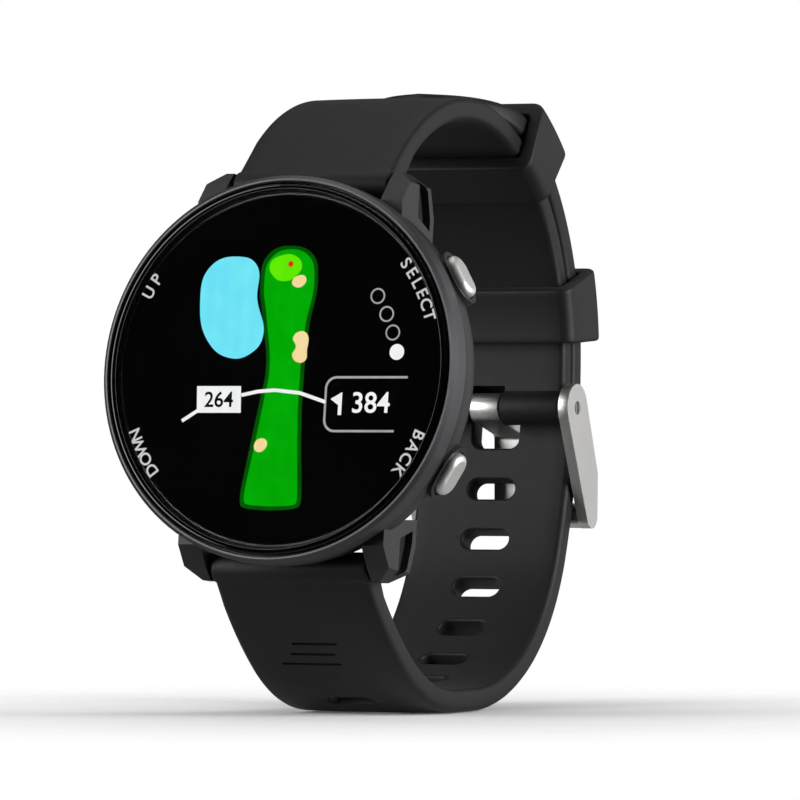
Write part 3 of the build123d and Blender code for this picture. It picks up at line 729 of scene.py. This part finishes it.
def put_curve_mesh(name, curve, place):
    """Add a flat filled curve, turned into a mesh, with its points moved by a function."""
    holder = bpy.data.objects.new("outline", curve)
    bpy.context.scene.collection.objects.link(holder)
    mesh = bpy.data.meshes.new_from_object(holder.evaluated_get(bpy.context.evaluated_depsgraph_get()))
    put(name, [place(v.co.x, v.co.y) for v in mesh.vertices], [tuple(f.vertices) for f in mesh.polygons])
    bpy.data.objects.remove(holder)


def put_blob(name, outline):
    """A soft-edged area through a few points."""
    curve = bpy.data.curves.new("outline", "CURVE")
    curve.dimensions = "2D"
    curve.fill_mode = "BOTH"
    curve.resolution_u = 10
    spline = curve.splines.new("BEZIER")
    spline.bezier_points.add(len(outline) - 1)
    for knot, (x, up) in zip(spline.bezier_points, outline):
        knot.co = (x, up, 0)
        knot.handle_left_type = knot.handle_right_type = "AUTO"
    spline.use_cyclic_u = True
    put_curve_mesh(name, curve, lambda x, up: (x, up))


def put_line(name, points, width, closed=False):
    """A line of even width through points."""
    count = len(points)
    sides = []
    for i, (x, up) in enumerate(points):
        before = points[i - 1] if i or closed else points[i]
        after = points[(i + 1) % count] if i < count - 1 or closed else points[i]
        along = Vector((after[0] - before[0], after[1] - before[1])).normalized()
        across = Vector((-along.y, along.x)) * width / 2
        sides += [(x + across.x, up + across.y), (x - across.x, up - across.y)]
    last = count if closed else count - 1
    faces = [(2 * i, 2 * i + 1, (2 * i + 3) % (2 * count), (2 * i + 2) % (2 * count)) for i in range(last)]
    put(name, sides, faces)


def arc(x, up, radius, start, end, steps=10):
    return [
        (x + radius * cos(radians(start + (end - start) * i / steps)),
         up + radius * sin(radians(start + (end - start) * i / steps)))
        for i in range(steps + 1)
    ]


def put_disc(name, x, up, radius, sides):
    """A filled disc."""
    rim = arc(x, up, radius, 0, 360 - 360 / sides, sides - 1)
    put(name, [(x, up)] + rim, [(0, i + 1, (i + 1) % sides + 1) for i in range(sides)])


def letters(body, weight):
    """A text as a flat filled curve, centred, whose capitals are 1 high."""
    curve = bpy.data.curves.new("text", "FONT")
    curve.body = body
    curve.size = 1 / 0.7
    curve.offset = weight
    curve.resolution_u = 4
    curve.align_x = "CENTER"
    return curve


def put_text(name, body, x, up, height, weight=0.02, stretch=1.0):
    """A straight text, centred at x with its foot at up."""
    put_curve_mesh(name, letters(body, weight), lambda a, b: (x + a * height * stretch, up + b * height))


def put_round_text(name, body, angle, radius, height, pitch):
    """A text that reads clockwise round the dial, its letters' feet on a circle."""
    for index, letter in enumerate(body):
        around = radians(angle - pitch * (index - (len(body) - 1) / 2))
        out = (cos(around), sin(around))
        along = (sin(around), -cos(around))
        put_curve_mesh(name, letters(letter, label_weight), lambda a, b: (
            out[0] * (radius + b * height) + along[0] * a * height,
            out[1] * (radius + b * height) + along[1] * a * height,
        ))


# the hole: water, rough, fairway, putting green, sand and pin
put_blob("display_water", [
    (-5.9, 13.1), (-3.7, 12.1), (-3.4, 8.2), (-2.4, 3.7), (-3.9, 1.8), (-6.4, 1.3), (-9.3, 3.1),
    (-10.7, 7.7), (-9.7, 11.9),
])
put_blob("display_rough", [
    (0.9, 14.3), (3.5, 13.2), (4.2, 10.9), (3.4, 4.5), (3.1, -3.6), (3.25, -8.2), (3.6, -15.5), (3.3, -15.95),
    (-3.8, -15.95), (-4.1, -15.5), (-3.1, -8.2), (-2.3, -3.6), (-1.75, 0.0), (-2.6, 6.3), (-3.1, 9.8),
    (-2.3, 13.3),
])
put_blob("display_fairway", [
    (0.9, 13.9), (3.1, 12.9), (3.75, 10.9), (2.9, 4.5), (2.6, -3.6), (2.75, -8.2), (3.1, -15.3), (2.9, -15.6),
    (-3.3, -15.6), (-3.6, -15.3), (-2.55, -8.2), (-1.8, -3.6), (-1.3, 0.0), (-2.1, 6.3), (-2.6, 9.8),
    (-1.9, 12.9),
])
put_blob("display_green", [
    (-2.0, 12.2), (-0.6, 13.2), (1.3, 13.1), (2.1, 12.0), (1.5, 10.9), (0.1, 10.2), (-1.4, 10.7),
])
put_blob("display_sand", [(0.95, 10.1), (1.9, 10.9), (2.7, 10.6), (2.5, 9.8), (1.5, 9.5)])
put_blob("display_sand", [
    (2.5, 4.4), (3.3, 4.0), (3.35, 2.2), (3.2, 1.0), (2.2, 0.8), (1.5, 1.6), (1.9, 2.6), (1.5, 3.7),
])
put_blob("display_sand", [(-1.1, -8.4), (-1.5, -9.4), (-2.4, -9.5), (-2.7, -8.7), (-1.9, -8.0)])
put_disc("display_pin", 0.66, 12.2, 0.35, 10)

# distances: a box, an arc across the hole, a bracket with a flag
reach = [(-4.7, -3.0), (-2.6, -2.58), (-0.45, -2.42), (2.75, -2.75), (6.05, -3.8)]
put_line("display_lines", reach, 0.42)
put_line("display_lines", [(-10.2, -4.8), (-12.15, -6.0)], 0.42)
put("display_lines", [(-10.45, -1.95), (-10.3, -5.05), (-4.65, -5.05), (-4.8, -1.95)], [(0, 1, 2, 3)])
put_text("display_ink", "264", -7.55, -4.35, 1.75, 0.02, 1.0)
bracket = [(16.3, -0.95)] + arc(7.35, -2.25, 1.3, 90, 180) + arc(7.35, -5.85, 1.3, 180, 270) + [(14.9, -7.15)]
put_line("display_bracket", bracket, 0.27)
flag = [(6.7, -3.45), (8.15, -2.65), (8.15, -5.3), (7.7, -5.3), (7.7, -4.15)]
put("display_lines", flag, [(0, 4, 1), (4, 3, 2, 1)])
put_text("display_lines", "384", 11.8, -5.0, 2.35, 0.018, 0.98)

# page marks beside the map
mark_radius = 0.83
for x, up in ((11.95, 8.42), (13.2, 6.34), (14.1, 4.2)):
    put_line("display_bracket", arc(x, up, mark_radius, 0, 345, 23), 0.2, closed=True)
put_disc("display_lines", 14.75, 1.96, 0.92, 30)

# button functions printed round the dial; the print glows, as painted light
label_radius, label_height, label_weight = 18.9, 1.4, 0.022
for body, angle, pitch in (
    ("SELECT", 28.5, 4.05), ("BACK", -29.5, 4.5), ("UP", 150.1, 5.2), ("DOWN", 209.9, 4.6),
):
    put_round_text("dial_labels", body, angle, label_radius, label_height, pitch)

layers = {
    "display_water": (water_lit, 1.245), "display_rough": (rough_lit, 1.245),
    "display_fairway": (fairway_lit, 1.239), "display_green": (green_lit, 1.233),
    "display_sand": (sand_lit, 1.227), "display_pin": (flag_lit, 1.227),
    "display_lines": (white_lit, 1.221), "display_bracket": (grey_lit, 1.221),
    "display_ink": (ink, 1.215), "dial_labels": (label_print_painted_glow, 1.221),
}
for name, (material, depth) in layers.items():
    points, faces = picture[name]
    build = bmesh.new()
    corners = [build.verts.new(dial_point(x, up, depth)) for x, up in points]
    for face in faces:
        if len(set(face)) > 2:
            build.faces.new([corners[i] for i in face])
    bmesh.ops.remove_doubles(build, verts=build.verts, dist=1e-7)
    face_out = DIAL.to_3x3() @ Vector((0, 0, 1))
    for face in build.faces:
        face.normal_update()
        if face.normal.dot(face_out) < 0:
            face.normal_flip()
    mesh = bpy.data.meshes.new(name)
    build.to_mesh(mesh)
    build.free()
    piece = new_piece(name, mesh, material)
    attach(piece, "root")

# ---------------------------------------------------------------- finishes of the CAD nodes
finishes = {
    case_nylon: ["mid_case", "back_cover"],
    coating: ["bezel_ring"],
    glass: ["lens"],
    dark_display: ["display_module"],
    seal_rubber: ["lens_gasket", "button_seals", "back_gasket"],
    flex: ["display_flex"],
    board: ["main_board"],
    shield_steel: ["shield_can"],
    antenna_ceramic: ["gps_antenna"],
    battery_film: ["battery"],
    pad_foam: ["battery_pad"],
    motor_steel: ["vibration_motor"],
    frame_plastic: ["inner_frame", "side_switches", "contact_carrier"],
    screw_steel: ["back_screws"],
    contact_gold: ["charge_contacts"],
    bar_steel: [
        "spring_bar_top", "spring_bar_bottom", "release_lever_top", "release_lever_bottom", "buckle_pin",
    ],
    buckle_steel: ["buckle_frame", "buckle_tang"],
    button_steel: [],
}
for key in ("select", "back", "up", "down"):
    finishes[button_steel].append("button_" + key)
    finishes[bar_steel].append("clip_" + key)
for material, names in finishes.items():
    for name in names:
        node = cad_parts[name]
        node.data.materials.clear()
        node.data.materials.append(material)

crease_angle = 35


def soften(name, width):
    """Break the sharp edges of a CAD node with a small rounded bevel."""
    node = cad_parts[name]
    weld = node.modifiers.new("weld", "WELD")
    weld.merge_threshold = 1e-6
    bevel = node.modifiers.new("bevel", "BEVEL")
    bevel.width = width * MM
    bevel.segments = 3
    bevel.limit_method = "ANGLE"
    bevel.angle_limit = radians(crease_angle)
    bevel.use_clamp_overlap = True
    bevel.harden_normals = True


soften("mid_case", 0.22)
soften("buckle_frame", 0.28)
soften("buckle_tang", 0.12)

# ---------------------------------------------------------------- stage, lights, camera
view_angle = radians(25.157)          # the camera stands this far round to the right of the face
right = Vector((cos(view_angle), sin(view_angle), 0))
towards = Vector((sin(view_angle), -cos(view_angle), 0))
up = Vector((0, 0, 1))
face_middle = Vector((0, face_y, face_z))
aim_right, aim_below = 14.143, 3.637
aim = face_middle + right * aim_right - up * aim_below
camera_distance = 940.33


def from_camera(across, rise, near):
    """A place seen from the camera: right of, above and nearer than the aim, in metres."""
    return (aim + right * across + up * rise + towards * near) * MM


camera_data = bpy.data.cameras.new("camera")
camera_data.lens = 369.0
camera_data.sensor_width = 36.0
camera_data.clip_start = 0.01
camera = bpy.data.objects.new("camera", camera_data)
camera.location = from_camera(0, 0, camera_distance)
camera.rotation_euler = (-towards).to_track_quat("-Z", "Y").to_euler()
bpy.context.scene.collection.objects.link(camera)
bpy.context.scene.camera = camera
bpy.context.scene.view_settings.view_transform = "Standard"


def softbox(name, place, width, height, power):
    """A soft rectangular light turned to the middle of the watch."""
    light = bpy.data.lights.new(name, "AREA")
    light.shape = "RECTANGLE"
    light.size = width * MM
    light.size_y = height * MM
    light.energy = power
    lamp = bpy.data.objects.new(name, light)
    lamp.location = place
    lamp.rotation_euler = (from_camera(0, 0, 0) - place).to_track_quat("-Z", "Y").to_euler()
    bpy.context.scene.collection.objects.link(lamp)


softbox("top_softbox", from_camera(-40, 430, -70), 460, 320, 0.5)
softbox("left_softbox", from_camera(-480, 110, 160), 260, 420, 2.1)
softbox("right_softbox", from_camera(460, 60, 150), 200, 380, 3.0)
softbox("rear_card", from_camera(383, 40, -320), 300, 420, 0.28)


floor_radius, fade_radius, floor_drop = 300.0, 100.0, 0.02


def studio_floor():
    """A white paper sweep, a round patch that fades into the white of the room."""
    material, tree, place = start_material("white_paper_sweep")
    away = add(tree, "ShaderNodeVectorMath", {0: place}, operation="LENGTH").outputs["Value"]
    fade = add(tree, "ShaderNodeMapRange", {
        "Value": away, "From Min": 0.0, "From Max": fade_radius * MM,
    }, interpolation_type="SMOOTHSTEP").outputs["Result"]
    fibres = add(tree, "ShaderNodeTexNoise", {"Vector": place, "Scale": per(0.4)}).outputs["Fac"]
    grain = add(tree, "ShaderNodeMapRange", {
        "Value": fibres, "From Min": noise_low, "From Max": noise_high, "To Min": 0.96, "To Max": 1.0,
    }).outputs["Result"]
    paper = add(tree, "ShaderNodeBsdfDiffuse", {
        "Color": colour("#ececec"), "Roughness": grain,
    }).outputs[0]
    glow = add(tree, "ShaderNodeEmission", {"Color": colour("#ffffff"), "Strength": 0.02}).outputs[0]
    lit = add(tree, "ShaderNodeAddShader", {0: paper, 1: glow}).outputs[0]
    clear = add(tree, "ShaderNodeBsdfTransparent").outputs[0]
    finish_material(material, tree, "ShaderNodeMixShader", {"Fac": fade, 1: lit, 2: clear})
    build = bmesh.new()
    bmesh.ops.create_circle(build, cap_ends=True, segments=96, radius=floor_radius * MM)
    mesh = bpy.data.meshes.new("floor")
    build.to_mesh(mesh)
    build.free()
    mesh.transform(Matrix.Translation((0, 0, -floor_drop * MM)))
    return new_piece("floor", mesh, material)


studio_floor()

# The room: white behind the watch, and dim in reflections except overhead.
world = bpy.data.worlds.new("studio")
bpy.context.scene.world = world
world.use_nodes = True
tree = world.node_tree
tree.nodes.clear()
direction = add(tree, "ShaderNodeTexCoord").outputs["Generated"]
height = add(tree, "ShaderNodeSeparateXYZ", {0: direction}).outputs["Z"]
glow = add(tree, "ShaderNodeMapRange", {
    "Value": height, "From Min": 0.3, "From Max": 0.9, "To Min": 0.012, "To Max": 0.1,
}).outputs["Result"]
room = add(tree, "ShaderNodeBackground", {"Color": colour("#ffffff"), "Strength": glow}).outputs[0]
backdrop = add(tree, "ShaderNodeBackground", {"Color": colour("#ffffff"), "Strength": 1.0}).outputs[0]
seen = add(tree, "ShaderNodeLightPath").outputs["Is Camera Ray"]
mixed = add(tree, "ShaderNodeMixShader", {"Fac": seen, 1: room, 2: backdrop}).outputs[0]
add(tree, "ShaderNodeOutputWorld", {"Surface": mixed})
